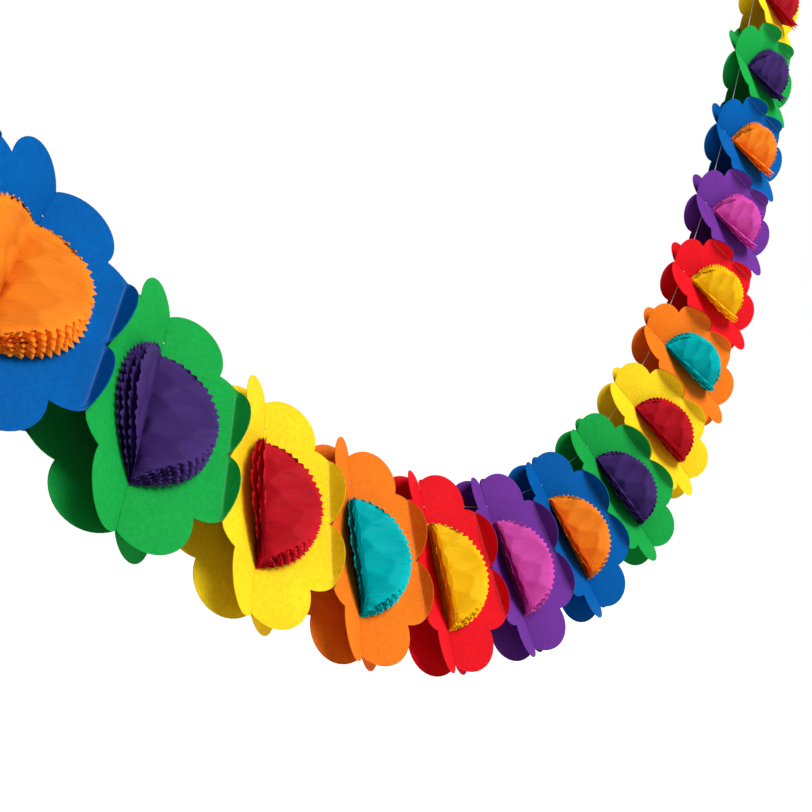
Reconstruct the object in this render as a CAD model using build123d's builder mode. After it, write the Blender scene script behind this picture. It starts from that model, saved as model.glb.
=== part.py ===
from build123d import *
from math import atan, atan2, acos, cos, hypot, pi, radians, sin, tan
import os

# Paper flower garland. Fifteen flowers in a repeating run of six colours hang as a swag on one thread.
# Each flower is two die-cut sheets of eight petals. Both are folded in half along a spine that runs
# from notch to notch, and they meet back to back at that spine. The tips of their side petals are
# folded out and glued to the next flower's, so the row opens and closes like an accordion. A round
# honeycomb centre of tissue with a pinked edge is hinged at the spine, one in front and one behind.
# Millimetres, +Z up, the swag in the XZ plane, fronts towards -Y. The origin is the place inside the
# left hanging loop where it goes over its hook.

# The swag
FLOWERS = 15
COLOURS = ("blue", "green", "yellow", "orange", "red", "purple")
PITCH = 95.5
SWAG_RADIUS = 390.0
LOWEST_FLOWER_SHARE = 7.1
FRONT_TIP_DEGREES = 28.0
# Past this flower each one tips back less than the one before it, by the degrees below.
FIRST_UPRIGHT_FLOWER = 8
UPRIGHT_DEGREES = 3.8

# One sheet of a flower, laid flat: the notches between its petals, measured from its middle
PAPER = 0.4
SPINE_NOTCH_UP = 68.0
SHOULDER_NOTCH_OUT = 35.5
SHOULDER_NOTCH_UP = 46.0
RIDGE_OUT = 50.0
SIDE_NOTCH_SETBACK = 0.6
PETAL_RISE_SHARE = 0.38
PETAL_STEPS = 4
SPINE_GLUE = 0.2
FIN_GLUE = 0.2

# Thread, and the hole for it in each spine. The radius of its bend at a hole is set by the paper's edge.
THREAD_DIAMETER = 1.0
THREAD_SIDES = 6
HOLE_RADIUS = 1.4
HOLE_DROP = 19.0
HOLE_SIDES = 4
HOLE_BEND = 6.0

# Honeycomb centre: two outer leaves that lie on the wings, and the glued hinge between them. The leaves
# between those two, and the fine zigzag of the real pinking, are too thin for solids.
CENTRE_RADIUS = 40.0
LEAF = 0.8
TEETH = 6
TOOTH_DEPTH = 2.4
LEAF_CLEARANCE = 0.2
HINGE_WIDTH = 1.2
HINGE_DEPTH = 0.7
HINGE_STAND_OFF = 0.8

# Thread ends: a lead, a knot and a hanging loop. The loop's shares are of its length and half width.
LEAD = 62.0
LOOP_LENGTH = 30.0
LOOP_HALF_WIDTH = 8.0
LOOP_SHARES = ((0.3, 0.6), (0.7, 1.0), (1.0, 0.6), (1.0, -0.6), (0.7, -1.0), (0.3, -0.6))
LOOP_TAIL = 8.0
STRAND_SPACING = 1.7
KNOT_LENGTH = 4.0
KNOT_END = 0.5
KNOT_RADIUS = 2.4
KNOT_SIDES = 6
KNOT_CLEARANCE = 0.15

FRONT = 1
BACK = -1
LEFT = -1
RIGHT = 1
FACE_OUT = Vector(0, -1, 0)


class Flower:
    """Where one flower stands: its middle, the way along the swag, up its spine and out of its front."""

    def __init__(self, on_swag, number):
        climb = atan((number - LOWEST_FLOWER_SHARE) * PITCH / SWAG_RADIUS)
        even_tip = radians(FRONT_TIP_DEGREES)
        upright_steps = max(number - FIRST_UPRIGHT_FLOWER, 0)
        tip = even_tip - radians(UPRIGHT_DEGREES) * upright_steps
        level_up = Vector(-sin(climb), 0, cos(climb))
        even_up = level_up * cos(even_tip) - FACE_OUT * sin(even_tip)
        self.on_swag = on_swag
        self.along = Vector(cos(climb), 0, sin(climb))
        self.up = level_up * cos(tip) - FACE_OUT * sin(tip)
        self.out = FACE_OUT * cos(tip) + level_up * sin(tip)
        # A flower that stands more upright has turned about the thread in its hole.
        self.place = on_swag + (even_up - self.up) * (SPINE_NOTCH_UP - HOLE_DROP)

    def hole(self):
        return self.place + self.up * (SPINE_NOTCH_UP - HOLE_DROP)


def swag():
    """The flowers from left to right, with one imagined beyond each end so that the end sheets fold alike."""
    flowers = [Flower(Vector(0, 0, 0), 0)]
    for number in range(1, FLOWERS + 2):
        last = flowers[-1]
        step = (last.along + Flower(last.on_swag, number).along).normalized()
        flowers.append(Flower(last.on_swag + step * PITCH, number))
    return flowers


def petal(start, end):
    """A petal's rim from notch to notch: an arc that rises a share of its chord, in straight steps."""
    chord = end - start
    rise = chord.length * PETAL_RISE_SHARE
    radius = ((chord.length / 2) ** 2 + rise**2) / (2 * rise)
    along = chord.normalized()
    outward = Vector(-along.Y, along.X)
    middle = (start + end) * 0.5 - outward * (radius - rise)
    half_turn = atan2(chord.length / 2, radius - rise)
    points = []
    for step in range(PETAL_STEPS + 1):
        turn = half_turn * (1 - 2 * step / PETAL_STEPS)
        points.append(middle + outward * (radius * cos(turn)) - along * (radius * sin(turn)))
    return points


def half_sheet():
    """The rim of the four petals on one side of the spine, from the top notch to the bottom one."""
    notches = [
        Vector(0, SPINE_NOTCH_UP),
        Vector(SHOULDER_NOTCH_OUT, SHOULDER_NOTCH_UP),
        Vector(RIDGE_OUT - SIDE_NOTCH_SETBACK, 0),
        Vector(SHOULDER_NOTCH_OUT, -SHOULDER_NOTCH_UP),
        Vector(0, -SPINE_NOTCH_UP),
    ]
    petals = [petal(start, end) for start, end in zip(notches, notches[1:])]
    return [point for rim in petals for point in rim[:-1]] + notches[-1:]


class Fold:
    """One quarter of a flower: the wing between the spine and the ridge, and the fin past the ridge."""

    def __init__(self, flower, neighbour, side, face):
        self.out = flower.out * face
        step = (neighbour.place - flower.place).normalized()
        spine_gap = SPINE_GLUE / 2 + PAPER / 2
        fin_gap = FIN_GLUE / 2 + PAPER / 2
        self.spine = flower.place + flower.along * (side * spine_gap)
        glue_plane = (flower.place + neighbour.place) * 0.5 - step * fin_gap
        reach = (glue_plane - self.spine).dot(step)
        # The wing leaves the spine at the angle that brings the side notch to the glue plane.
        level = flower.along * side
        steer = atan2(self.out.dot(step), level.dot(step))
        swing = hypot(self.out.dot(step), level.dot(step))
        angle = steer + acos(reach / RIDGE_OUT / swing)
        self.wing_out = (level * cos(angle) + self.out * sin(angle)).normalized()
        self.up = flower.up
        self.ridge = self.spine + self.wing_out * RIDGE_OUT
        wing_normal = self.wing_out.cross(flower.up)
        ridge_up = wing_normal.cross(step).normalized()
        self.ridge_up = ridge_up if ridge_up.dot(flower.up) > 0 else ridge_up * -1
        self.past_ridge = (self.wing_out - self.ridge_up * self.wing_out.dot(self.ridge_up)).normalized()
        fin_out = step.cross(self.ridge_up).normalized()
        self.fin_out = fin_out if fin_out.dot(self.out) > 0 else fin_out * -1

    def from_ridge(self, point):
        """A point of the flat sheet as distances past the ridge and up along it."""
        out, up = point.X - RIDGE_OUT, point.Y
        past = out * self.wing_out.dot(self.past_ridge) + up * self.up.dot(self.past_ridge)
        return Vector(past, out * self.wing_out.dot(self.ridge_up) + up * self.up.dot(self.ridge_up))

    def panel_plane(self, panel_out):
        """The plane of the wing or of the fin: X past the ridge, Y up along it."""
        return Plane(origin=self.ridge, x_dir=panel_out, z_dir=panel_out.cross(self.ridge_up))

    def leaf_plane(self):
        """The plane on which a tissue leaf lies: X from the spine along the wing, Z away from the paper."""
        normal = self.wing_out.cross(self.up)
        normal = normal if normal.dot(self.out) > 0 else normal * -1
        rest = self.spine + normal * (PAPER / 2 + LEAF_CLEARANCE)
        return Plane(origin=rest, x_dir=self.wing_out, z_dir=normal)


def ridge_crossing(inner, outer):
    """Where a rim's step from inside the ridge to past it meets the ridge."""
    return inner + (outer - inner) * (inner.X / (inner.X - outer.X))


def split_at_ridge(fold):
    """The outline of the wing, and those of the fin lobes past the ridge, both measured from the ridge."""
    rim = [fold.from_ridge(point) for point in half_sheet()]
    wing = []
    fins = []
    for point, following in zip(rim, rim[1:]):
        (wing if point.X <= 0 else fins[-1]).append(point)
        if (point.X > 0) == (following.X > 0):
            continue
        crossing = ridge_crossing(point, following)
        wing.append(crossing)
        if following.X > 0:
            fins.append([crossing])
        else:
            fins[-1].append(crossing)
    wing.append(rim[-1])
    return wing, fins


def folded_sheet(flower, neighbour, side):
    """One flower sheet: front and back wings from the spine, and the fin lobes that are glued on."""
    with BuildPart() as sheet:
        for face in (FRONT, BACK):
            fold = Fold(flower, neighbour, side, face)
            wing, fins = split_at_ridge(fold)
            with BuildSketch(fold.panel_plane(fold.past_ridge)):
                Polygon(*wing, align=None)
            extrude(amount=PAPER / 2, both=True)
            for lobe in fins:
                with BuildSketch(fold.panel_plane(fold.fin_out)):
                    Polygon(*lobe, align=None)
                extrude(amount=PAPER / 2, both=True)
        with BuildSketch(Plane(origin=flower.hole(), x_dir=flower.up, z_dir=flower.along)):
            RegularPolygon(HOLE_RADIUS, HOLE_SIDES)
        extrude(amount=HOLE_DROP / 2, both=True, mode=Mode.SUBTRACT)
    return sheet


def pinked_half_disc():
    """A half disc against the spine, its rim cut in zigzag teeth."""
    points = []
    for corner in range(2 * TEETH + 1):
        turn = pi * (0.5 - corner / (2 * TEETH))
        radius = CENTRE_RADIUS - (TOOTH_DEPTH if corner % 2 == 0 else 0)
        points.append(Vector(radius * cos(turn), radius * sin(turn)))
    return points


def honeycomb_centre(flower, left, right, face):
    """Two pinked leaves in the valley between a flower's wings, joined at the glued hinge."""
    with BuildPart() as pad:
        for neighbour, side in ((left, LEFT), (right, RIGHT)):
            fold = Fold(flower, neighbour, side, face)
            with BuildSketch(fold.leaf_plane()):
                Polygon(*pinked_half_disc(), align=None)
            extrude(amount=LEAF)
        hinge_half = CENTRE_RADIUS - TOOTH_DEPTH
        hinge_foot = flower.place + flower.out * (face * HINGE_STAND_OFF) - flower.up * hinge_half
        with BuildSketch(Plane(origin=hinge_foot, x_dir=flower.along, z_dir=flower.up)):
            Rectangle(HINGE_WIDTH, HINGE_DEPTH)
        extrude(amount=2 * hinge_half)
    return pad


class ThreadEnd:
    """The knot and hanging loop past an end flower, drawn in the swag's plane."""

    def __init__(self, flower, beyond):
        self.away = (beyond.hole() - flower.hole()).normalized()
        self.knot = flower.hole() + self.away * LEAD
        self.across = self.away.cross(FACE_OUT).normalized()
        self.hook = self.at(LOOP_LENGTH - THREAD_DIAMETER, 0)

    def at(self, away, across):
        return self.knot + self.away * away + self.across * across

    def route(self):
        """Route points from the knot round the loop and back beside the knot."""
        loop = [self.at(LOOP_LENGTH * along, LOOP_HALF_WIDTH * out) for along, out in LOOP_SHARES]
        tail = [self.at(0, -STRAND_SPACING), self.at(-LOOP_TAIL, -STRAND_SPACING)]
        return [self.at(0, 0), *loop, *tail]


def bend_radius(before, corner, after):
    """The largest arc that two runs allow at their corner."""
    half_turn = radians((corner - before).get_angle(after - corner)) / 2
    shorter = min((corner - before).length, (after - corner).length)
    return 0.45 * shorter / tan(half_turn)


def thread(points, holes):
    """One thread along its route: tight bends where a hole holds it, wide ones round the loops."""
    radii = []
    for before, corner, after in zip(points, points[1:], points[2:]):
        radii.append(HOLE_BEND if corner in holes else bend_radius(before, corner, after))
    with BuildPart() as strand:
        with BuildLine():
            path = FilletPolyline(*points, radius=radii)
        with BuildSketch(Plane(origin=path @ 0, z_dir=path % 0)):
            section = RegularPolygon(THREAD_DIAMETER / 2, THREAD_SIDES)
        sweep()
    print("thread arcs", [round(radius, 1) for radius in radii])
    print("thread volume", strand.part.volume, "section by length", section.area * path.length)
    return strand


def knot(end):
    """The knot under a hanging loop: a short barrel round both strands."""
    strand_hole = THREAD_DIAMETER / 2 + KNOT_CLEARANCE
    foot = end.at(-LOOP_TAIL - KNOT_END, -STRAND_SPACING / 2)
    with BuildPart() as barrel:
        with BuildSketch(Plane(origin=foot, x_dir=end.across, z_dir=end.away)):
            RegularPolygon(KNOT_RADIUS, KNOT_SIDES)
            with Locations((STRAND_SPACING / 2, 0), (-STRAND_SPACING / 2, 0)):
                Rectangle(2 * strand_hole, 2 * strand_hole, mode=Mode.SUBTRACT)
        extrude(amount=KNOT_LENGTH)
    return barrel


def place_on_hook(flowers):
    """Moves the swag so that the left loop's hook point is the origin."""
    hook = ThreadEnd(flowers[1], flowers[0]).hook
    for flower in flowers:
        flower.place = flower.place - hook


os.makedirs("parts", exist_ok=True)


def save(part, label):
    part.label = label
    export_step(part, f"parts/{label}.step")


flowers = swag()
place_on_hook(flowers)

for number in range(1, FLOWERS + 1):
    left, flower, right = flowers[number - 1 : number + 2]
    name = f"flower_{number:02d}_{COLOURS[(number - 1) % len(COLOURS)]}"
    save(folded_sheet(flower, left, LEFT).part, f"{name}_left_sheet")
    save(folded_sheet(flower, right, RIGHT).part, f"{name}_right_sheet")
    pads = [honeycomb_centre(flower, left, right, face).part for face in (FRONT, BACK)]
    save(Compound(children=pads), f"{name}_centres")

left_end = ThreadEnd(flowers[1], flowers[0])
right_end = ThreadEnd(flowers[-2], flowers[-1])
holes = [flower.hole() for flower in flowers[1:-1]]
route_points = left_end.route()[::-1] + holes + right_end.route()
save(thread(route_points, holes).part, "thread")
save(knot(left_end).part, "left_knot")
save(knot(right_end).part, "right_knot")
print("right hook", right_end.hook, "lowest hole", min(holes, key=lambda point: point.Z))
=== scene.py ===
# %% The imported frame
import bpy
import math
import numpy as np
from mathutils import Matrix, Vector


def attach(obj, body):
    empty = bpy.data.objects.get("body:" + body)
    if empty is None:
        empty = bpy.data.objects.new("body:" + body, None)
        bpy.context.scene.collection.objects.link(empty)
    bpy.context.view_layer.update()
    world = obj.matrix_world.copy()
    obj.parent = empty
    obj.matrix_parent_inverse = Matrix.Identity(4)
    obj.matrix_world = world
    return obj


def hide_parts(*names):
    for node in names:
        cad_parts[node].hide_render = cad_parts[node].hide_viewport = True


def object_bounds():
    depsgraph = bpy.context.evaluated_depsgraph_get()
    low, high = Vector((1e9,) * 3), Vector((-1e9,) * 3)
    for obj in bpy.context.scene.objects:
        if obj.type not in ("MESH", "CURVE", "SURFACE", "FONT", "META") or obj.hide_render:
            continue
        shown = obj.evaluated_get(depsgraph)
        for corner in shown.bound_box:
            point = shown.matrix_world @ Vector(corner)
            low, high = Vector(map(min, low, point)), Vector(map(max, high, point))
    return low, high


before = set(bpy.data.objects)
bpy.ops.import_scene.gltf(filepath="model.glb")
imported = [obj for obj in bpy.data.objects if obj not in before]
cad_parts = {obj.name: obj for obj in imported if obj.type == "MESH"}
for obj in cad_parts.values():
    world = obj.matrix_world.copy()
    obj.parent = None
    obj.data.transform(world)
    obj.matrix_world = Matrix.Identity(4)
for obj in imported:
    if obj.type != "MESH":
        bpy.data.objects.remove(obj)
cad_low, cad_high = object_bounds()

# %% [markdown]
# ## Tools and a yardstick
# The solid model is loaded and measured before anything is made. It could be measured later by hand, but
# then the looks would be in the way.
# numpy works out the shapes as whole arrays, and bpy puts them into Blender.

# %% [markdown]
# ## The swag
# The garland is a row of folded card flowers on one thread that hangs from two hooks. The flowers could
# be placed one by one by hand, or dropped into a simulation, but then they would not stand where the
# solid model has them. Here the slope of the thread grows evenly along the row, so a few numbers give
# every place. Each flower stands square to the thread and tips its face up, because the thread holds it
# near its top. Past the middle each one stands more upright than the one before it, turned about the
# thread in its hole.
#
# All sizes are in metres. They are the solid model's, apart from those that say otherwise: card, glue,
# tissue and thread are as thin here as they look, and the tissue's teeth are as fine.

# %% Directions along the swag
FLOWERS = 15
PITCH = 0.0955
SWAG_RADIUS = 0.390
LOWEST_FLOWER_SHARE = 7.1
FRONT_TIP_DEGREES = 28.0
FIRST_UPRIGHT_FLOWER = 8
UPRIGHT_DEGREES = 3.8

# Number 0 and the number past the last are empty places, which the outermost fins lie towards.
number = np.arange(FLOWERS + 2)
climb = np.arctan((number - LOWEST_FLOWER_SHARE) * PITCH / SWAG_RADIUS)
even_tip = math.radians(FRONT_TIP_DEGREES)
tip = even_tip - math.radians(UPRIGHT_DEGREES) * np.maximum(number - FIRST_UPRIGHT_FLOWER, 0)
flat = np.zeros_like(climb)
face_out = np.array([0.0, -1.0, 0.0])
along = np.stack([np.cos(climb), flat, np.sin(climb)], axis=1)
level_up = np.stack([-np.sin(climb), flat, np.cos(climb)], axis=1)
even_up = level_up * math.cos(even_tip) - face_out * math.sin(even_tip)
up = level_up * np.cos(tip)[:, None] - face_out * np.sin(tip)[:, None]
out = face_out * np.cos(tip)[:, None] + level_up * np.sin(tip)[:, None]
print("climb from", round(math.degrees(climb[1]), 1), "to", round(math.degrees(climb[-2]), 1), "degrees")

# %% Places of the flowers and of the thread's holes
SPINE_NOTCH_UP = 0.068
HOLE_DROP = 0.019
LEAD = 0.062
LOOP_LENGTH = 0.030
# The solid thread is 0.001 across.
THREAD_DIAMETER = 0.0008


def unit(vectors):
    """Each vector divided by its own length."""
    return vectors / np.linalg.norm(vectors, axis=-1, keepdims=True)


steps = unit(along[1:] + along[:-1]) * PITCH
on_swag = np.vstack([np.zeros(3), np.cumsum(steps, axis=0)])
hole = on_swag + even_up * (SPINE_NOTCH_UP - HOLE_DROP)
place = hole - up * (SPINE_NOTCH_UP - HOLE_DROP)
# The origin is inside the left loop, where it goes over its hook. The solid model's thread is thicker,
# so its origin lies 0.0002 nearer to the first flower, and the looks stand that far off the solids.
left_hook = hole[1] + unit(hole[0] - hole[1]) * (LEAD + LOOP_LENGTH - THREAD_DIAMETER)
place = place - left_hook
hole = hole - left_hook
print("span", np.round(place[-2] - place[1], 4), "lowest hole", np.round(hole[:, 2].min(), 4))

# %% [markdown]
# ## One flat sheet
# The card is die-cut as a ring of eight petals with a notch between each two. It could be drawn as a
# curve and filled, but a filled curve has no rows of points where the card folds, and it would crease in
# the wrong places. So half of it is laid out as rays from the spine to the rim. One grid then covers
# the petals, the notches and the ridge, and its columns stand closer where the card bends.

# %% The rim of one petal
PETAL_RISE_SHARE = 0.38


def petal_rim(start, end, rows):
    """An arc from notch to notch whose rise is a share of its chord.

    The radius is the square of half the chord plus the square of the rise, over twice the rise.
    """
    start, end = np.array(start), np.array(end)
    chord = end - start
    length = np.linalg.norm(chord)
    rise = length * PETAL_RISE_SHARE
    radius = ((length / 2) ** 2 + rise**2) / (2 * rise)
    forward = chord / length
    outward = np.array([-forward[1], forward[0]])
    centre = (start + end) / 2 - outward * (radius - rise)
    turn = math.atan2(length / 2, radius - rise) * (1 - 2 * rows)
    return centre + radius * (np.cos(turn)[:, None] * outward - np.sin(turn)[:, None] * forward)


# %% The rim of half a sheet
SHOULDER_NOTCH = (0.0355, 0.046)
RIDGE_OUT = 0.050
SIDE_NOTCH_SETBACK = 0.0006
PETAL_ROWS = 18
END_ROW_SHARE = 0.015
END_START_SHARE = 0.993


def half_rim():
    """Rim points of the four petals of one half, and where each one's ray starts on the spine.

    A start moves down the spine by the same share as its point moves along its petal's arc. The first
    and the last ray stand a little inside the spine's ends, where a ray would have no length.
    """
    shoulder_out, shoulder_up = SHOULDER_NOTCH
    notches = [
        (0.0, SPINE_NOTCH_UP),
        (shoulder_out, shoulder_up),
        (RIDGE_OUT - SIDE_NOTCH_SETBACK, 0.0),
        (shoulder_out, -shoulder_up),
        (0.0, -SPINE_NOTCH_UP),
    ]
    share = np.arange(PETAL_ROWS) / PETAL_ROWS
    rims, starts = [], []
    for first, second in zip(notches, notches[1:]):
        rims.append(petal_rim(first, second, share))
        starts.append(first[1] + (second[1] - first[1]) * share)
    rims.append(petal_rim(notches[3], notches[4], np.array([1 - END_ROW_SHARE])))
    starts.append(np.array([-SPINE_NOTCH_UP * END_START_SHARE]))
    rims[0][0] = petal_rim(notches[0], notches[1], np.array([END_ROW_SHARE]))[0]
    starts[0][0] = SPINE_NOTCH_UP * END_START_SHARE
    return np.vstack(rims), np.concatenate(starts)


print("rim points of half a sheet", len(half_rim()[0]))

# %% A grid over half a sheet
SPINE_COLUMNS = np.array([0.0, 0.12, 0.3, 0.6, 1.2]) / 1000
CREASE_COLUMNS = np.array([-1.2, -0.5, -0.15, 0.15, 0.5, 1.2]) / 1000
WING_COLUMNS = 9
FIN_COLUMNS = 5
FURTHEST_CREASE_SHARE = 0.92
SHORT_RAY = 0.010
SHORT_FIN = 0.003
LEAST_SLOPE = 1e-3


def half_grid(tilt_out, tilt_up):
    """Flat points of one half, rows down the rim and columns out from the spine.

    The ridge is the line where (x - RIDGE_OUT) * tilt_out + y * tilt_up is nought. Each ray is cut at
    it, and the close columns of the spine and the ridge narrow on short rays.
    """
    rim, start = half_rim()
    origin = np.stack([np.zeros_like(start), start], axis=1)
    ray = rim - origin
    length = np.linalg.norm(ray, axis=1, keepdims=True)
    ray = ray / length
    slope = ray[:, 0] * tilt_out + ray[:, 1] * tilt_up
    reach = (RIDGE_OUT * tilt_out - start * tilt_up) / np.maximum(slope, LEAST_SLOPE)
    crease = np.minimum(reach[:, None], FURTHEST_CREASE_SHARE * length)
    near = np.minimum(1, length / SHORT_RAY)
    close = np.minimum(1, np.minimum((length - crease) / SHORT_FIN, crease / SHORT_RAY))
    spine = SPINE_COLUMNS * near
    fold = crease + CREASE_COLUMNS * close
    wing_share = np.linspace(0, 1, WING_COLUMNS + 1)[1:-1]
    wing = spine[:, -1:] + (fold[:, :1] - spine[:, -1:]) * wing_share
    fin_share = np.linspace(0, 1, FIN_COLUMNS + 1)[1:]
    fin = fold[:, -1:] + (length - fold[:, -1:]) * fin_share
    distance = np.hstack([spine, wing, fold, fin])
    return origin[:, None] + ray[:, None] * distance[:, :, None]


print("rows and columns of half a sheet", half_grid(1.0, 0.0).shape[:2])

# %% [markdown]
# ## Folding
# Each wing leaves the spine at an angle and ends in a fin that lies flat on the next flower's, where
# the glue holds them. The folds could be bones or a bend modifier, but then the fins would meet only
# roughly. Here the wing's angle is solved from the distance to the neighbour, so they meet exactly. A
# fold in card is a tight curve and not a knife edge, and the card bows a little between its folds
# because it springs back.

# %% A rounded corner
def above_nought(value, roundness):
    """The value where it is positive and nought where it is negative, with a rounded change.

    It is half the sum of the value and the root of its square plus the roundness squared.
    """
    return (value + np.sqrt(value**2 + roundness**2)) / 2


print("the corner stands off by", above_nought(0.0, 1.0), "of its roundness")

# %% One quarter of a flower
RANDOM_SEED = 7
# The solid card is 0.0004 thick and has 0.0002 of glue at the spine.
PAPER = 0.0003
SPINE_GLUE = 0.00002
FIN_GLUE = 0.0002
RIDGE_ROUND = 0.0006
BOW = 0.0022
BOW_SPREAD = 0.25
BOW_POWER = 0.85
RIPPLE = 0.0004
RIPPLE_PER_METRE = 60
CURL = 0.0016
CURL_WAVE = 0.4
CURL_TURN = 2.2
CURL_SPREAD = 0.5
TALL_FROM = 0.040
TALL_OVER = 0.035
TALL_FLATTENS = 0.5

random = np.random.default_rng(RANDOM_SEED)


class Fold:
    """One quarter of a flower, from the spine over the ridge to the glued fin.

    The ridge lies where a wing of fixed length meets the glue plane halfway to the neighbour, which
    gives the wing's angle as a direction plus the arc cosine of the reach over the wing's length.
    """

    def __init__(self, flower, neighbour, face):
        side = 1 if neighbour > flower else -1
        step = unit(place[neighbour] - place[flower])
        self.level = along[flower] * side
        self.up = up[flower]
        self.out = out[flower] * face
        self.spine = place[flower] + self.level * (SPINE_GLUE + PAPER) / 2
        glue = (place[flower] + place[neighbour]) / 2 - step * (FIN_GLUE + PAPER) / 2
        reach = (glue - self.spine) @ step
        steer = math.atan2(self.out @ step, self.level @ step)
        swing = math.hypot(self.out @ step, self.level @ step)
        self.angle = steer + math.acos(reach / RIDGE_OUT / swing)
        self.wing = self.level * math.cos(self.angle) + self.out * math.sin(self.angle)
        self.normal = self.out * math.cos(self.angle) - self.level * math.sin(self.angle)
        self.ridge = self.spine + self.wing * RIDGE_OUT
        ridge_up = unit(np.cross(self.normal, step))
        self.ridge_up = ridge_up * np.sign(ridge_up @ self.up)
        self.past = unit(self.wing - self.ridge_up * (self.wing @ self.ridge_up))
        fin = np.cross(step, self.ridge_up)
        self.fin = fin * np.sign(fin @ self.out)
        # Four of each are drawn, and the first two are used.
        self.waves = random.uniform(-1, 1, 4)
        self.phases = random.uniform(0, 2 * math.pi, 4)

    def lift(self, x, y):
        """How far the card stands off the flat wing: a bow, a ripple and the petals' curl, added up.

        The bow is half a sine wave between the folds. The curl grows with the square of the height
        past where the upper and lower petals start.
        """
        across = np.clip(x / RIDGE_OUT, 0, 1)
        bow = BOW * (1 + BOW_SPREAD * self.waves[0]) * np.sin(math.pi * across**BOW_POWER)
        ripple = RIPPLE * np.sin(math.pi * across) * np.sin(RIPPLE_PER_METRE * y + self.phases[0])
        tall = np.clip((np.abs(y) - TALL_FROM) / TALL_OVER, 0, 1) ** 2
        wave = CURL_WAVE * np.sin(CURL_TURN * across + self.phases[1] + np.sign(y))
        curl = CURL * tall * (wave + self.waves[1] * CURL_SPREAD)
        return bow * (1 - TALL_FLATTENS * tall) + ripple + curl

    def ridge_distance(self, points):
        """How far flat points lie past the ridge, which is below nought on the wing."""
        return (points[..., 0] - RIDGE_OUT) * (self.wing @ self.past) + points[..., 1] * (self.up @ self.past)

    def bend(self, points):
        """Flat points carried to where the folded card has them.

        Each is split into its distance past the ridge and its rise along it. What lies before the
        ridge goes along the wing and what lies past it along the fin, with the lift added.
        """
        x, y = points[..., 0:1], points[..., 1:2]
        past = (x - RIDGE_OUT) * (self.wing @ self.past) + y * (self.up @ self.past)
        rise = (x - RIDGE_OUT) * (self.wing @ self.ridge_up) + y * (self.up @ self.ridge_up)
        before = -above_nought(-past, RIDGE_ROUND)
        after = above_nought(past, RIDGE_ROUND)
        return (
            self.ridge
            + self.past * before
            + self.fin * after
            + self.ridge_up * rise
            + self.normal * self.lift(x, y)
        )


# %% The bend at the spine
SPINE_ROUND = 0.0004
CREST_REACH = 0.004


def spine_round(fold, partner, points):
    """What the tight bend at the spine adds: each half starts a little way along the other.

    The rounded distance from the spine is carried along both wings. The crest of the bend is then
    drawn back to the glue line, and that dies out outwards as an exponential.
    """
    x = points[..., 0:1]
    both = fold.wing + partner.wing
    short = above_nought(-x, SPINE_ROUND)
    crest = above_nought(np.zeros(1), SPINE_ROUND) * np.exp(-x / CREST_REACH)
    return both * short - fold.level * (both @ fold.level) * crest


# %% [markdown]
# ## Making meshes
# A real sheet of card has two faces and a cut edge all round. A Solidify modifier would add them, but
# here the hole for the thread is left out of the grid and needs walls too, so both faces and all the
# walls are worked out together. Whole arrays go into the mesh at once, which is much faster than a
# loop over its points.

# %% From arrays to an object
def mesh_piece(name, vertices, quads, smooth_degrees=None):
    """A mesh object from arrays of points and four-cornered faces.

    The faces' corners are listed one after the other, so face n starts at corner four times n.
    """
    mesh = bpy.data.meshes.new(name)
    mesh.vertices.add(len(vertices))
    mesh.vertices.foreach_set("co", vertices.astype(np.float32).ravel())
    mesh.loops.add(quads.size)
    mesh.loops.foreach_set("vertex_index", quads.astype(np.int32).ravel())
    mesh.polygons.add(len(quads))
    mesh.polygons.foreach_set("loop_start", np.arange(0, quads.size, 4, dtype=np.int32))
    mesh.polygons.foreach_set("use_smooth", np.ones(len(quads), dtype=bool))
    mesh.update(calc_edges=True)
    if smooth_degrees:
        mesh.set_sharp_from_angle(angle=math.radians(smooth_degrees))
    piece = bpy.data.objects.new(name, mesh)
    bpy.context.scene.collection.objects.link(piece)
    return piece


def attribute(piece, name, values):
    """One value at each point, in the order of the points, for the material to read."""
    layer = piece.data.attributes.new(name, "FLOAT", "POINT")
    layer.data.foreach_set("value", values.astype(np.float32).ravel())


# %% Faces of a grid
def grid_quads(rows, columns, wrap=False):
    """Corner numbers of a grid's faces, row by row: each point with its right and lower neighbours.

    A wrapped grid joins its last column to its first.
    """
    index = np.arange(rows * columns).reshape(rows, columns)
    if wrap:
        index = np.hstack([index, index[:, :1]])
    corners = [index[:-1, :-1], index[:-1, 1:], index[1:, 1:], index[1:, :-1]]
    return np.stack([corner.ravel() for corner in corners], axis=1)


print("faces of half a sheet", len(grid_quads(*half_grid(1.0, 0.0).shape[:2])))

# %% A shell of card
NEARLY_NOUGHT = 1e-12


def surface_normals(points):
    """Normals of a grid of points: the cross product of its column and row slopes, at length one."""
    down = np.gradient(points, axis=0)
    across = np.gradient(points, axis=1)
    return unit(np.cross(across, down) + NEARLY_NOUGHT)


def shell(points, keep, thickness):
    """Both faces of a sheet and the walls along its open edges.

    Each point is moved half the thickness along its normal, both ways. A side that no second face
    runs along the other way is open, and gets a wall.
    """
    rows, columns = points.shape[:2]
    half = surface_normals(points) * thickness / 2
    vertices = np.vstack([(points + half).reshape(-1, 3), (points - half).reshape(-1, 3)])
    count = rows * columns
    face = grid_quads(rows, columns)[keep.ravel()]
    edges = np.vstack([face[:, [i, (i + 1) % 4]] for i in range(4)])
    key = edges[:, 0] * count + edges[:, 1]
    other_way = edges[:, 1] * count + edges[:, 0]
    border = edges[~np.isin(key, other_way)]
    walls = np.stack([border[:, 1], border[:, 0], border[:, 0] + count, border[:, 1] + count], axis=1)
    return vertices, np.vstack([face, face[:, ::-1] + count, walls])


# %% [markdown]
# ## The paper sheets
# Two sheets make a flower, glued back to back along the spine. A sheet's front half and back half could
# be two pieces, but on the real one they share the fold. So they are one grid from the back rim over
# the spine to the front rim, with the thread's hole punched through the fold.

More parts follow.
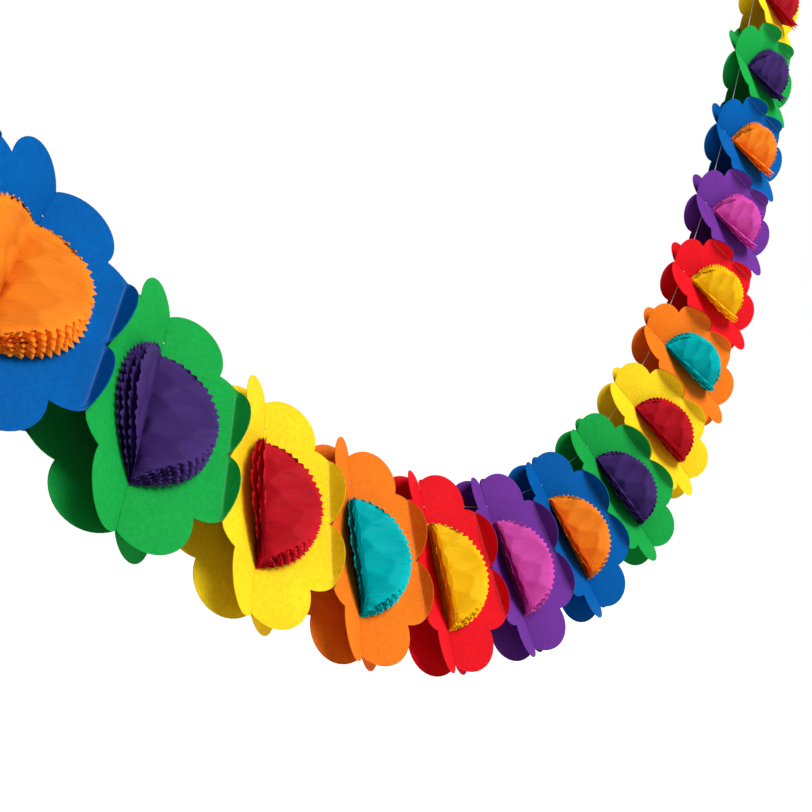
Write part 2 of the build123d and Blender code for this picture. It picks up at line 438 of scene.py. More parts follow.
# %% One folded sheet
# The solid card's hole is a square too, with its corners 0.0014 from its middle.
HOLE_HALF = 0.0011
SMOOTH_DEGREES = 55
# Half width of the painted highlight along the ridge.
HIGHLIGHT_HALF_WIDTH = 0.0007


def folded_sheet(name, front, back):
    """One sheet, front half and back half, folded over its spine.

    Its painted highlight at the ridge fades as the exponential of minus the squared distance from it.
    """
    grids, crease, flat_points = [], [], []
    for fold, partner, order in ((back, front, -1), (front, back, 1)):
        points = half_grid(fold.wing @ fold.past, fold.up @ fold.past)
        bent = fold.bend(points) + spine_round(fold, partner, points)
        grids.append(bent[:, ::order])
        crease.append(fold.ridge_distance(points)[:, ::order])
        flat_points.append(points[:, ::order])
    whole = np.concatenate([grids[0][:, :-1], grids[1]], axis=1)
    ridge = np.concatenate([crease[0][:, :-1], crease[1]], axis=1)
    flat_whole = np.concatenate([flat_points[0][:, :-1], flat_points[1]], axis=1)
    middle = (flat_whole[:-1, :-1] + flat_whole[1:, 1:]) / 2
    hole_up = SPINE_NOTCH_UP - HOLE_DROP
    punched = (middle[..., 0] < HOLE_HALF) & (np.abs(middle[..., 1] - hole_up) < HOLE_HALF)
    vertices, quads = shell(whole, ~punched, PAPER)
    piece = mesh_piece(name, vertices, quads, smooth_degrees=SMOOTH_DEGREES)
    # A painted highlight along the ridge's fold, strongest on the fold line.
    ridge_highlight = np.exp(-((ridge / HIGHLIGHT_HALF_WIDTH) ** 2))
    attribute(piece, "crease", np.concatenate([ridge_highlight.ravel(), ridge_highlight.ravel()]))
    return piece


# %% [markdown]
# ## The honeycomb centres
# A honeycomb pad is a stack of tissue half discs with pinked edges, glued in spots that lie half a step
# apart from one layer to the next. A cloth simulation could open it, but the glued spots would need
# thousands of pins. Here each leaf is a flat half disc carried over a curve. Opened this far, most
# leaves follow the right wing, where the lowest is glued, and a few stay by the left wing. A leaf leaves
# the spine steeply, most at the pad's foot, and then arches back over the leaves below it.

# %% One pinked leaf, flat
# The solid pad has a radius of 0.040 and coarser teeth.
CENTRE_RADIUS = 0.0388
TEETH = 26
TOOTH_DEPTH = 0.0025
LEAF_COLUMNS = 20
PLAIN_COLUMNS = 12
HALF_TURN_SHARE = 0.985
COLUMN_POWER = 1.15
TOOTH_POWER = 4


def leaf_grid(columns):
    """Flat points of a pinked half disc: rows across the spine, columns out from it.

    Every second row is shorter by a tooth's depth. Rows are level by the spine and slant into their
    tooth only near the rim, by the fourth power of the share outwards.
    """
    row = np.arange(2 * TEETH + 1)
    turn = math.pi * (0.5 - row / (2 * TEETH)) * HALF_TURN_SHARE
    radius = CENTRE_RADIUS - TOOTH_DEPTH * (row % 2)
    share = np.linspace(0, 1, columns) ** COLUMN_POWER
    x = (radius * np.cos(turn))[:, None] * share
    y = CENTRE_RADIUS * np.sin(turn)[:, None] * np.ones_like(x)
    y = y + (radius * np.sin(turn) - CENTRE_RADIUS * np.sin(turn))[:, None] * share**TOOTH_POWER
    return np.stack([x, y], axis=-1)


print("rows and columns of a top leaf", leaf_grid(LEAF_COLUMNS).shape[:2])

# %% Crumples
CRUMPLE_RIPPLES = 7
RIPPLES_PER_METRE = (400, 1100)


def crumple(points, seed):
    """Small random creases: the mean of a few ripples, each 1 minus 2 times a sine without its sign."""
    wild = np.random.default_rng(seed)
    total = np.zeros(points.shape[:2])
    for _ in range(CRUMPLE_RIPPLES):
        angle = wild.uniform(0, math.pi)
        size = wild.uniform(*RIPPLES_PER_METRE)
        wave = points[..., 0] * math.cos(angle) + points[..., 1] * math.sin(angle)
        total = total + 1 - 2 * np.abs(np.sin(wave * size / 2 + wild.uniform(0, math.pi)))
    return total / CRUMPLE_RIPPLES


crumple_range = np.ptp(crumple(leaf_grid(PLAIN_COLUMNS), RANDOM_SEED))
print("crumples of a leaf range over", round(float(crumple_range), 2))

# %% How a leaf opens
FAN_CURL = 0.011
LEAN_AT_TOP = -0.65
ROOT_STAND_OFF = 0.0007
CURL_STEPS = 61


def arched(fold, x, y, spread, stand_off, root_shift, root_rise):
    """Points of a leaf that leaves the spine at its root angle and eases to its end angle.

    The angle closes in on its end as an exponential of the distance out, and adding up its cosines
    and sines gives the curve. The root is shifted sideways and raised, most at the top of the pad and
    not at all at its foot.
    """
    root_turn, end_turn = spread
    share_up = (1 + y[:, :1] / CENTRE_RADIUS) / 2
    lean = 1 + LEAN_AT_TOP * y[:, :1] / CENTRE_RADIUS
    fine = np.linspace(0, CENTRE_RADIUS, CURL_STEPS)
    step = fine[1]
    easing = np.exp(-fine / FAN_CURL)
    angle = fold.angle + np.radians(end_turn + (root_turn * lean - end_turn) * easing)
    run = np.cumsum(np.cos(angle), axis=1) * step
    rise = np.cumsum(np.sin(angle), axis=1) * step
    at = x / step
    low = np.clip(at.astype(int), 0, CURL_STEPS - 2)
    share = at - low
    rows = np.arange(len(x))[:, None]

    def between(table):
        """The table's value at each point, in a straight line from one step to the next."""
        return table[rows, low] * (1 - share) + table[rows, low + 1] * share

    angle_here = between(angle)
    run_here = between(run) - between(run)[:, :1] - np.sin(angle_here) * stand_off + root_shift * share_up
    rise_here = between(rise) - between(rise)[:, :1] + np.cos(angle_here) * stand_off
    rise_here = rise_here + ROOT_STAND_OFF + root_rise * share_up
    return fold.spine + fold.level * run_here[..., None] + fold.out * rise_here[..., None]


# %% One leaf of a pile
# Each leaf of a fan has its root angle and its end angle off the wing, in degrees.
GLUED = (0, 0)
RIGHT_FAN = (GLUED, (12, 2), (22, 4), (32, 6), (42, 8), (52, 10))
ROOT_SHIFT = 0.0045
ROOT_RISE = 0.0014
GLUE_PITCH = 0.0135
LEAF_WAVE = 0.0006
CRUMPLE = 0.0003
CRUMPLE_FADE = 0.006
GLUED_STAND_OFF = 0.0006
GLUED_RIM_STAND_OFF = 0.0012
LAYER_SLIP = 0.0004


def leaf(fold, fan, layer, drop, seed):
    """One leaf of a pile: glued on the wing, or arching up off the leaves below it.

    It stands off by a wave between its glued spots, half a step on from layer to layer, plus its
    crumples, which fade out at the spine.
    """
    points = leaf_grid(LEAF_COLUMNS if layer == len(fan) - 1 else PLAIN_COLUMNS)
    x, y = points[..., 0], points[..., 1]
    far = np.clip(x / CENTRE_RADIUS, 0, 1)
    wave = np.sin(2 * math.pi * y / GLUE_PITCH + math.pi * layer)
    ripple = LEAF_WAVE * wave * far + CRUMPLE * crumple(points, seed) * np.clip(x / CRUMPLE_FADE, 0, 1)
    if fan[layer] == GLUED:
        stand_off = GLUED_STAND_OFF + GLUED_RIM_STAND_OFF * far + np.abs(ripple) / 2
        lowered = points - np.array([0.0, drop])
        return fold.bend(lowered) + fold.normal * stand_off[..., None]
    slip = -LAYER_SLIP * (len(fan) - 1 - layer) - drop
    height = layer / (len(fan) - 1)
    root_shift = -ROOT_SHIFT if fan is RIGHT_FAN else 0
    stand_off = ripple + fold.lift(x, y - drop)
    leaf_points = arched(fold, x, y, fan[layer], stand_off, root_shift, height * ROOT_RISE)
    return leaf_points + fold.up * (y[..., None] + slip)


# %% The two pads of a flower
PAD_DROP = 0.0035
PAD_DROP_SPREAD = 0.0015
PATTERN_STEP = 3.1


def honeycomb_centres(name, quarters, left_fan, seed):
    """The front and the back pad of one flower, each two piles of leaves between its two wings.

    A leaf's UV map is its flat shape over its radius, moved on by a step from leaf to leaf, so that no
    two have the same puffs. Its rim value is the distance from the middle over the radius.
    """
    vertices, faces, flat_points, count = [], [], [], 0
    drop = PAD_DROP + PAD_DROP_SPREAD * random.uniform(-1, 1)
    for face in ("front", "back"):
        for side, fan in (("right", RIGHT_FAN), ("left", left_fan)):
            for layer in range(len(fan)):
                points = leaf(quarters[side, face], fan, layer, drop, seed)
                rows, columns = points.shape[:2]
                vertices.append(points.reshape(-1, 3))
                faces.append(grid_quads(rows, columns) + count)
                flat_points.append(leaf_grid(columns).reshape(-1, 2) / CENTRE_RADIUS)
                count += rows * columns
                seed += 2
    quads = np.vstack(faces)
    flat = np.vstack(flat_points)
    piece = mesh_piece(name, np.vstack(vertices), quads)
    attribute(piece, "rim", np.hypot(flat[:, 0], flat[:, 1]))
    shift = np.repeat(np.arange(len(faces)) * PATTERN_STEP, [len(points) for points in flat_points])
    uv = piece.data.uv_layers.new(name="leaf")
    uv.data.foreach_set("uv", (flat + shift[:, None])[quads.ravel()].astype(np.float32).ravel())
    return piece


# %% [markdown]
# ## The finishes' building blocks
# Card and tissue are thin enough for light to glow through. Glass-like transmission would show what is
# behind them, and subsurface scattering is meant for thick bodies. So both are a matt surface mixed
# with Blender's Translucent shader, which only lets soft light through.

# %% Nodes and values
WHITE = (1, 1, 1, 1)


def new_material(name):
    """An empty material and its node tree."""
    material = bpy.data.materials.new(name)
    material.use_nodes = True
    tree = material.node_tree
    tree.nodes.clear()
    return material, tree


def add(tree, kind, **values):
    """A node with some of its settings or sockets set."""
    node = tree.nodes.new(kind)
    for key, value in values.items():
        if key in node.inputs:
            node.inputs[key].default_value = value
        else:
            setattr(node, key, value)
    return node


def product(tree, socket, factor):
    """One value times another, which is a number or a second socket."""
    node = add(tree, "ShaderNodeMath", operation="MULTIPLY")
    tree.links.new(socket, node.inputs[0])
    if isinstance(factor, float):
        node.inputs[1].default_value = factor
    else:
        tree.links.new(factor, node.inputs[1])
    return node.outputs[0]


def ranged(tree, socket, from_range, to_range):
    """A value carried in a straight line from one range to another, and held at both ends."""
    node = add(tree, "ShaderNodeMapRange", data_type="FLOAT")
    names = ("From Min", "From Max", "To Min", "To Max")
    for name, value in zip(names, from_range + to_range):
        node.inputs[name].default_value = value
    tree.links.new(socket, node.inputs["Value"])
    return node.outputs["Result"]


def tinted(tree, rgb, strength):
    """A colour times a strength."""
    node = add(tree, "ShaderNodeVectorMath", operation="SCALE")
    node.inputs[0].default_value = rgb
    tree.links.new(strength, node.inputs["Scale"])
    return node.outputs[0]


# %% A thin sheet that light comes through
SHEEN = 0.04


def thin_shader(tree, colour, bump, roughness, through):
    """A matt surface and a translucent one, mixed by the share of light that comes through."""
    surface = add(tree, "ShaderNodeBsdfPrincipled")
    surface.inputs["Roughness"].default_value = roughness
    surface.inputs["Specular IOR Level"].default_value = SHEEN
    behind = add(tree, "ShaderNodeBsdfTranslucent")
    mix = add(tree, "ShaderNodeMixShader")
    mix.inputs["Fac"].default_value = through
    output = add(tree, "ShaderNodeOutputMaterial")
    tree.links.new(colour, surface.inputs["Base Color"])
    tree.links.new(colour, behind.inputs["Color"])
    tree.links.new(bump, surface.inputs["Normal"])
    tree.links.new(bump, behind.inputs["Normal"])
    tree.links.new(surface.outputs[0], mix.inputs[1])
    tree.links.new(behind.outputs[0], mix.inputs[2])
    tree.links.new(mix.outputs[0], output.inputs["Surface"])


# %% [markdown]
# ## The coloured card
# The sheets are uncoated card dyed through: matt and faintly mottled by their fibres. A painted highlight
# makes them paler along the ridge, where the rounded fold catches the light. A scanned picture of card
# could give the mottle, but it would repeat and has to be stored. Two sizes of noise on Object coordinates
# do it instead, and the crease attribute says where the painted highlight lies.

# %% Card
PAPER_RGB = {
    "blue": (0.000, 0.110, 0.400),
    "green": (0.010, 0.375, 0.062),
    "yellow": (0.980, 0.700, 0.016),
    "orange": (0.900, 0.205, 0.012),
    "red": (0.790, 0.008, 0.016),
    "purple": (0.160, 0.034, 0.310),
}
PAPER_ROUGHNESS = 0.62
PAPER_THROUGH = 0.14
NOISE_RANGE = (0.3, 0.7)
MOTTLE_RANGE = (0.86, 1.10)
BLOTCH_RANGE = (0.95, 1.05)
# Strength and paleness of the painted highlight along the ridge.
HIGHLIGHT_STRENGTH = 0.12
HIGHLIGHT_WHITE_SHARE = 0.4
COLOUR_SHARE = 0.6
# Sockets of the Mix node that belong to its colours.
MIX_FACTOR, MIX_FIRST, MIX_SECOND, MIX_RESULT = 0, 6, 7, 2


def paper_material(name, rgb):
    """Coloured card: its colour times two noises, mixed with a paler painted highlight along the ridge.

    The finer noise also gives the fibre grain of the bump.
    """
    material, tree = new_material(f"{name}_paper")
    place_on = add(tree, "ShaderNodeTexCoord")
    mottle = add(tree, "ShaderNodeTexNoise", Scale=420.0, Detail=5.0, Roughness=0.65)
    blotch = add(tree, "ShaderNodeTexNoise", Scale=38.0, Detail=2.0)
    for noise in (mottle, blotch):
        tree.links.new(place_on.outputs["Object"], noise.inputs["Vector"])
    fine = ranged(tree, mottle.outputs["Fac"], NOISE_RANGE, MOTTLE_RANGE)
    coarse = ranged(tree, blotch.outputs["Fac"], NOISE_RANGE, BLOTCH_RANGE)
    tint = tinted(tree, rgb, product(tree, fine, coarse))
    # The paler colour along the ridge is a painted highlight where the rounded fold catches the light.
    ridge_highlight = add(tree, "ShaderNodeAttribute", attribute_name="crease")
    highlight_rgb = tuple(COLOUR_SHARE * value + HIGHLIGHT_WHITE_SHARE for value in rgb)
    colour = add(tree, "ShaderNodeMix", data_type="RGBA")
    colour.inputs[MIX_SECOND].default_value = (*highlight_rgb, 1)
    tree.links.new(product(tree, ridge_highlight.outputs["Fac"], HIGHLIGHT_STRENGTH), colour.inputs[MIX_FACTOR])
    tree.links.new(tint, colour.inputs[MIX_FIRST])
    bump = add(tree, "ShaderNodeBump", Strength=0.25, Distance=0.0002)
    tree.links.new(mottle.outputs["Fac"], bump.inputs["Height"])
    thin_shader(tree, colour.outputs[MIX_RESULT], bump.outputs[0], PAPER_ROUGHNESS, PAPER_THROUGH)
    return material


papers = {name: paper_material(name, rgb) for name, rgb in PAPER_RGB.items()}
print("papers", sorted(papers))

# %% [markdown]
# ## The dyed tissue
# Tissue puffs up between its glue spots and wrinkles outwards from the spine, and a painted highlight
# brightens its cut edge. The puffs could be modelled, but that takes many more faces for every leaf.
# They are a bump from a cell pattern instead, read from each leaf's own UV map so that it lies on the
# leaf and not in space.

# %% Tissue
TISSUE_RGB = {
    "orange": (0.980, 0.290, 0.020),
    "violet": (0.070, 0.033, 0.185),
    "crimson": (0.600, 0.012, 0.024),
    "teal": (0.000, 0.530, 0.550),
    "gold": (0.980, 0.620, 0.008),
    "magenta": (0.740, 0.095, 0.480),
}
TISSUE_ROUGHNESS = 0.5
TISSUE_THROUGH = 0.30
PUFFS_PER_RADIUS = (2.3, 3.0)
PUFF_SLANT_DEGREES = 45
PUFF_RANDOMNESS = 0.75
PUFF_HEIGHT = -2.4
STREAKS_PER_RADIUS = (4.0, 16.0)
STREAK_HEIGHT = 0.34
SEAM_RANGES = ((0.0, 0.05), (0.93, 1.0))
# The colour grows up to a quarter brighter towards the teeth: a painted highlight at the rim.
RIM_HIGHLIGHT_RANGES = ((0.84, 1.0), (1.0, 1.25))


def puffs_and_streaks(tree, leaf_map):
    """The tissue's height, and how dark it is at the seams between its puffs.

    The height is a downward parabola of the distance to each puff's middle, plus stretched noise.
    """
    slant = add(tree, "ShaderNodeMapping", vector_type="POINT")
    slant.inputs["Scale"].default_value = (*PUFFS_PER_RADIUS, 1)
    slant.inputs["Rotation"].default_value = (0, 0, math.radians(PUFF_SLANT_DEGREES))
    tree.links.new(leaf_map, slant.inputs["Vector"])
    cells = add(tree, "ShaderNodeTexVoronoi", feature="SMOOTH_F1", Scale=1.0, Smoothness=0.35)
    seams = add(tree, "ShaderNodeTexVoronoi", feature="DISTANCE_TO_EDGE", Scale=1.0)
    for pattern in (cells, seams):
        pattern.inputs["Randomness"].default_value = PUFF_RANDOMNESS
        tree.links.new(slant.outputs["Vector"], pattern.inputs["Vector"])
    stretch = add(tree, "ShaderNodeMapping", vector_type="POINT")
    stretch.inputs["Scale"].default_value = (*STREAKS_PER_RADIUS, 1)
    tree.links.new(leaf_map, stretch.inputs["Vector"])
    streaks = add(tree, "ShaderNodeTexNoise", Scale=1.0, Detail=3.0)
    tree.links.new(stretch.outputs["Vector"], streaks.inputs["Vector"])
    square = add(tree, "ShaderNodeMath", operation="POWER")
    square.inputs[1].default_value = 2.0
    tree.links.new(cells.outputs["Distance"], square.inputs[0])
    height = add(tree, "ShaderNodeMath", operation="ADD")
    tree.links.new(product(tree, square.outputs[0], PUFF_HEIGHT), height.inputs[0])
    tree.links.new(product(tree, streaks.outputs["Fac"], STREAK_HEIGHT), height.inputs[1])
    return height.outputs[0], ranged(tree, seams.outputs["Distance"], *SEAM_RANGES)


def tissue_material(name, rgb):
    """Dyed tissue: its colour times the darkening of its seams times a painted highlight at its rim."""
    material, tree = new_material(f"{name}_tissue")
    own = add(tree, "ShaderNodeUVMap", uv_map="leaf")
    height, seam = puffs_and_streaks(tree, own.outputs["UV"])
    edge = add(tree, "ShaderNodeAttribute", attribute_name="rim")
    # A painted highlight at the rim: brighter towards the teeth.
    rim_highlight = ranged(tree, edge.outputs["Fac"], *RIM_HIGHLIGHT_RANGES)
    tint = tinted(tree, rgb, product(tree, seam, rim_highlight))
    bump = add(tree, "ShaderNodeBump", Strength=0.9, Distance=0.0024)
    tree.links.new(height, bump.inputs["Height"])
    thin_shader(tree, tint, bump.outputs[0], TISSUE_ROUGHNESS, TISSUE_THROUGH)
    return material


tissues = {name: tissue_material(name, rgb) for name, rgb in TISSUE_RGB.items()}
print("tissues", sorted(tissues))

# %% [markdown]
# ## The flowers
# One run of six colours repeats along the thread. One flower could be copied fifteen times, but each
# hangs at its own angle and its card bows a little differently, so each is folded anew. How far the left
# pile of a pad is open is given in tables, and on the first two flowers its lowest leaf is glued to the
# wing. Every piece rides on the garland's one body and stands for its solid.

# %% A finished piece
def put(piece, material, stands_for):
    """A finished piece in its place on the garland."""
    piece.data.materials.append(material)
    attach(piece, "root")
    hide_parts(stands_for)


# %% Fifteen flowers
PAPER_COLOURS = ("blue", "green", "yellow", "orange", "red", "purple")
TISSUE_COLOURS = ("orange", "violet", "crimson", "teal", "gold", "magenta")
FLAT_LEFT_FAN = (GLUED, (4, 1), (8, 2))
LOW_LEFT_FAN = (GLUED, (8, 4), (15, 8), (22, 12))
RAISED_LEFT_FAN = ((13, 9), (19, 13), (25, 17))
STEEP_LEFT_FAN = ((19, 15), (25, 18), (31, 21))
UPRIGHT_LEFT_FAN = ((26, 22), (31, 26), (36, 30))
LEFT_FANS = {1: FLAT_LEFT_FAN, 2: LOW_LEFT_FAN, 3: RAISED_LEFT_FAN, 4: RAISED_LEFT_FAN}
SEED_STEP = 1000

for flower in range(1, FLOWERS + 1):
    paper = PAPER_COLOURS[(flower - 1) % len(PAPER_COLOURS)]
    tissue = TISSUE_COLOURS[(flower - 1) % len(TISSUE_COLOURS)]
    title = f"flower_{flower:02d}_{paper}"
    quarters = {}
    for side, neighbour in (("left", flower - 1), ("right", flower + 1)):
        for face, sign in (("front", 1), ("back", -1)):
            quarters[side, face] = Fold(flower, neighbour, sign)
        sheet = folded_sheet(f"{title}_{side}_card", quarters[side, "front"], quarters[side, "back"])
        put(sheet, papers[paper], f"{title}_{side}_sheet")
    usual_fan = UPRIGHT_LEFT_FAN if flower > FIRST_UPRIGHT_FLOWER else STEEP_LEFT_FAN
    left_fan = LEFT_FANS.get(flower, usual_fan)
    centres = honeycomb_centres(f"{title}_tissue", quarters, left_fan, SEED_STEP * flower)
    put(centres, tissues[tissue], f"{title}_centres")
print("sheet faces", len(sheet.data.polygons), "centre faces", len(centres.data.polygons))

# %% [markdown]
# ## The thread
# A white twisted thread runs through the punched holes and ends in a knotted loop at each hook. The
# flowers' weight keeps it straight from hole to hole, so it needs no simulation. A curve with a round
# bevel would be smooth like wire. A tube whose section has two lobes that turn along it shows the two
# strands instead.

# %% White cotton
THREAD_ROUGHNESS = 0.8
THREAD_RGBA = (0.80, 0.80, 0.77, 1)


def thread_material():
    """Bleached cotton: one even matt colour."""
    material, tree = new_material("thread")
    surface = add(tree, "ShaderNodeBsdfPrincipled", Roughness=THREAD_ROUGHNESS)
    surface.inputs["Base Color"].default_value = THREAD_RGBA
    output = add(tree, "ShaderNodeOutputMaterial")
    tree.links.new(surface.outputs[0], output.inputs["Surface"])
    return material


cotton = thread_material()
print("finishes", len(papers) + len(tissues) + 1)

# %% The route of the thread
LOOP_HALF_WIDTH = 0.008
LOOP_SHARES = ((0.3, 0.6), (0.7, 1.0), (1.0, 0.6), (1.0, -0.6), (0.7, -1.0), (0.3, -0.6))
LOOP_TAIL = 0.008
STRAND_SPACING = 0.0017


def thread_end(flower, beyond):
    """Where a loop's knot is and the ways along and across the loop.

    The knot lies the lead's length past the hole, towards the empty place beyond the last flower.
    """
    away = unit(hole[beyond] - hole[flower])
    return hole[flower] + away * LEAD, away, unit(np.cross(away, face_out))


def loop_points(flower, beyond):
    """Route points from the knot round the loop and back beside the knot.

    Each is a share of the loop's length along it and of its half width across it.
    """
    knot, away, across = thread_end(flower, beyond)
    points = [knot]
    points += [knot + away * LOOP_LENGTH * a + across * LOOP_HALF_WIDTH * b for a, b in LOOP_SHARES]
    points.append(knot - across * STRAND_SPACING)
    points.append(knot - away * LOOP_TAIL - across * STRAND_SPACING)
    return points


route = loop_points(1, 0)[::-1] + list(hole[1:-1]) + loop_points(FLOWERS, FLOWERS + 1)
print("route points", len(route))

# %% A smooth line along the route
THREAD_STEP = 0.0008
SMOOTHED_STEPS = 9
SMOOTHING_REACH = 2


def smooth_route(points):
    """The route at even steps, its corners rounded by averaging along it.

    The weights of the average fall off as the exponential of minus the squared distance.
    """
    points = np.array(points)
    reach = np.concatenate([[0], np.cumsum(np.linalg.norm(np.diff(points, axis=0), axis=1))])
    even = np.arange(0, reach[-1], THREAD_STEP)
    line = np.stack([np.interp(even, reach, points[:, axis]) for axis in range(3)], axis=1)
    weight = np.exp(-np.linspace(-SMOOTHING_REACH, SMOOTHING_REACH, SMOOTHED_STEPS) ** 2)
    weight = weight / weight.sum()
    beyond = SMOOTHED_STEPS // 2
    padded = np.vstack([np.repeat(line[:1], beyond, axis=0), line, np.repeat(line[-1:], beyond, axis=0)])
    return np.stack([np.convolve(padded[:, axis], weight, "valid") for axis in range(3)], axis=1)


line = smooth_route(route)
print("thread length", round(float(np.linalg.norm(np.diff(line, axis=0), axis=1).sum()), 4))

# %% Two twisted strands
TWIST_PITCH = 0.0035
TUBE_SIDES = 10
STRAND_ROUND = 0.86
STRAND_LOBE = 0.14


def end_cap(ring, middle):
    """Triangles from a ring of points to the point in its middle."""
    return np.stack([ring, np.roll(ring, -1), np.full(len(ring), middle)], axis=1)


def twisted_tube(name, line, radius):
    """A tube of two twisted strands: its radius has two lobes that turn along the line.

    The radius is a constant share plus a small share of the cosine of twice the turn less the twist.
    """
    tangent = unit(np.gradient(line, axis=0))
    first = unit(np.cross(tangent, np.array([0.0, 1.0, 0.0])))
    second = np.cross(tangent, first)
    turn = np.linspace(0, 2 * math.pi, TUBE_SIDES, endpoint=False)
    twist = np.arange(len(line))[:, None] * THREAD_STEP / TWIST_PITCH * 2 * math.pi
    swell = radius * (STRAND_ROUND + STRAND_LOBE * np.cos(2 * (turn - twist)))
    ring = first[:, None] * (np.cos(turn) * swell)[..., None]
    ring = ring + second[:, None] * (np.sin(turn) * swell)[..., None]
    points = line[:, None] + ring
    vertices = np.vstack([points.reshape(-1, 3), line[:1], line[-1:]])
    count = len(line) * TUBE_SIDES
    around = np.arange(TUBE_SIDES)
    start = end_cap(around, count)
    finish = end_cap(count - TUBE_SIDES + around, count + 1)[:, [1, 0, 2]]
    faces = grid_quads(len(line), TUBE_SIDES, wrap=True).tolist() + start.tolist() + finish.tolist()
    mesh = bpy.data.meshes.new(name)
    mesh.from_pydata(vertices.tolist(), [], faces)
    mesh.polygons.foreach_set("use_smooth", np.ones(len(mesh.polygons), dtype=bool))
    piece = bpy.data.objects.new(name, mesh)
    bpy.context.scene.collection.objects.link(piece)
    return piece


thread = twisted_tube("cotton_thread", line, THREAD_DIAMETER / 2)
put(thread, cotton, "thread")
print("thread faces", len(thread.data.polygons))

# %% [markdown]
# ## The knots
# Each loop is closed by an overhand knot pulled tight. A true knot's path is hard to draw and can't be
# seen at this size, so a few turns of the same thread round both strands stand for it.

# %% Turns round both strands
KNOT_LENGTH = 0.004
KNOT_TURNS = 4
KNOT_STEPS = 90
WRAP_SHARE = 0.85
KNOT_FLATNESS = 0.7


def knot_wraps(name, flower, beyond):
    """A coil of thread round both strands: an oval turned while it moves along the loop's axis."""
    knot, away, across = thread_end(flower, beyond)
    depth = np.cross(away, across)
    middle = knot - across * STRAND_SPACING / 2 - away * (LOOP_TAIL - KNOT_LENGTH / 2)
    turn = np.linspace(0, 2 * math.pi * KNOT_TURNS, KNOT_STEPS)[:, None]
    radius = STRAND_SPACING / 2 + THREAD_DIAMETER * WRAP_SHARE
    run = away * KNOT_LENGTH * (turn / turn[-1] - 0.5)
    coil = middle + run + across * radius * np.cos(turn) + depth * radius * KNOT_FLATNESS * np.sin(turn)
    return twisted_tube(name, coil, THREAD_DIAMETER / 2)


for name, flower, beyond in (("left_knot", 1, 0), ("right_knot", FLOWERS, FLOWERS + 1)):
    turns = knot_wraps(f"{name}_turns", flower, beyond)
    put(turns, cotton, name)
    print(name, "faces", len(turns.data.polygons))

# %% [markdown]
# ## The room
# The garland hangs in a white studio. A backdrop right behind it would catch its shadow, so the floor
# is well below it. The world is white to the camera and only a weak glow to the paper, which keeps the
# background clean and the shade between the petals dark.

# %% Floor
FLOOR_DROP = 1.15
FLOOR_HALF = 6.0
FLOOR_RGBA = (0.9, 0.9, 0.9, 1)
FLOOR_GLOW = 0.8

floor_height = float(cad_low[2]) - FLOOR_DROP
floor_corners = [
    (-FLOOR_HALF, -FLOOR_HALF, floor_height),
    (FLOOR_HALF, -FLOOR_HALF, floor_height),
    (FLOOR_HALF, FLOOR_HALF, floor_height),
    (-FLOOR_HALF, FLOOR_HALF, floor_height),
]
floor_mesh = bpy.data.meshes.new("floor")
floor_mesh.from_pydata(floor_corners, [], [(0, 1, 2, 3)])
floor = bpy.data.objects.new("floor", floor_mesh)
bpy.context.scene.collection.objects.link(floor)
floor_material, floor_tree = new_material("white_floor")
floor_surface = add(floor_tree, "ShaderNodeBsdfPrincipled", Roughness=0.9)
floor_surface.inputs["Base Color"].default_value = FLOOR_RGBA
floor_surface.inputs["Emission Color"].default_value = WHITE
floor_surface.inputs["Emission Strength"].default_value = FLOOR_GLOW
floor_output = add(floor_tree, "ShaderNodeOutputMaterial")
floor_tree.links.new(floor_surface.outputs[0], floor_output.inputs["Surface"])
floor_mesh.materials.append(floor_material)
print("floor at", round(floor_height, 3))

# %% World
SEEN_STRENGTH = 1.0
GLOW_STRENGTH = 0.20

world = bpy.data.worlds.new("studio")
bpy.context.scene.world = world
world.use_nodes = True
sky = world.node_tree
sky.nodes.clear()
seen = add(sky, "ShaderNodeBackground", Strength=SEEN_STRENGTH)
seen.inputs["Color"].default_value = WHITE
glow = add(sky, "ShaderNodeBackground", Strength=GLOW_STRENGTH)
glow.inputs["Color"].default_value = WHITE
path = add(sky, "ShaderNodeLightPath")
pick = add(sky, "ShaderNodeMixShader")
sky_output = add(sky, "ShaderNodeOutputWorld")
sky.links.new(path.outputs["Is Camera Ray"], pick.inputs[0])
sky.links.new(glow.outputs[0], pick.inputs[1])
sky.links.new(seen.outputs[0], pick.inputs[2])
sky.links.new(pick.outputs[0], sky_output.inputs["Surface"])
print("glow of the world", GLOW_STRENGTH)

# %% [markdown]
# ## Light and camera
# One large soft box in front of the row, above it and to its right lights the faces and leaves the cells
# between the flowers dark. A sun lamp would be simpler, but its shadows are too hard for a studio. The
# camera stands off the row's left end. Its place and its turns were fitted once to the photograph.

# %% One soft box
CAMERA_FLOWER = 8
LAMP_FROM_FLOWER = (0.7, -1.9, 1.9)
LAMP_WIDTH = 1.7
LAMP_WATTS = 92


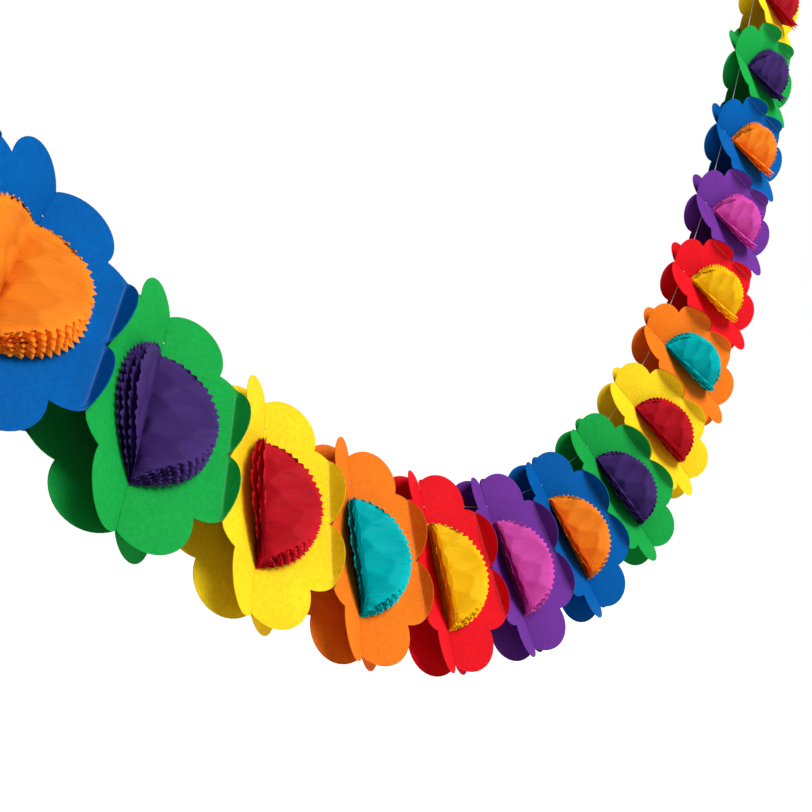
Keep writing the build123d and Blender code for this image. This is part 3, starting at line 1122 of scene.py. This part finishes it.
def soft_light(name, position, target, width, power):
    """A square soft box aimed at a point: turned so that its own minus z looks along the line to it."""
    lamp = bpy.data.lights.new(name, "AREA")
    lamp.size = width
    lamp.energy = power
    box = bpy.data.objects.new(name, lamp)
    bpy.context.scene.collection.objects.link(box)
    box.location = position
    look = np.array(target) - np.array(position)
    box.rotation_mode = "QUATERNION"
    box.rotation_quaternion = Vector(look).to_track_quat("-Z", "Y")


middle = place[CAMERA_FLOWER]
soft_light("front_light", middle + np.array(LAMP_FROM_FLOWER), middle, LAMP_WIDTH, LAMP_WATTS)
print("lamp", LAMP_WATTS, "W,", LAMP_WIDTH, "m wide")

# %% Camera
# The place is from the camera's flower, in metres, and the turns are in radians.
CAMERA_FROM_FLOWER = (-0.751197, -0.391245, 0.349232)
CAMERA_YAW = 0.86246
CAMERA_TILT = -0.29042
CAMERA_ROLL = 0.09667
FOCAL_PIXELS = 930.8
PHOTO_PIXELS = 812
SENSOR_MILLIMETRES = 36
FOCAL_SHARE = FOCAL_PIXELS / PHOTO_PIXELS
NEAREST_SEEN = 0.01

camera_data = bpy.data.cameras.new("camera")
camera_data.sensor_width = SENSOR_MILLIMETRES
camera_data.lens = SENSOR_MILLIMETRES * FOCAL_SHARE
camera_data.clip_start = NEAREST_SEEN
camera = bpy.data.objects.new("camera", camera_data)
bpy.context.scene.collection.objects.link(camera)
forward = np.array([
    math.sin(CAMERA_YAW) * math.cos(CAMERA_TILT),
    math.cos(CAMERA_YAW) * math.cos(CAMERA_TILT),
    math.sin(CAMERA_TILT),
])
level_right = np.array([math.cos(CAMERA_YAW), -math.sin(CAMERA_YAW), 0])
level_down = np.cross(forward, level_right)
right = level_right * math.cos(CAMERA_ROLL) + level_down * math.sin(CAMERA_ROLL)
down = level_down * math.cos(CAMERA_ROLL) - level_right * math.sin(CAMERA_ROLL)
position = middle + np.array(CAMERA_FROM_FLOWER)
columns = np.stack([right, -down, -forward, position], axis=1)
camera.matrix_world = Matrix([*columns.tolist(), [0, 0, 0, 1]])
bpy.context.scene.camera = camera
bpy.context.scene.view_settings.view_transform = "Standard"
print("camera at", np.round(position, 3), "lens", round(camera_data.lens, 1), "mm")
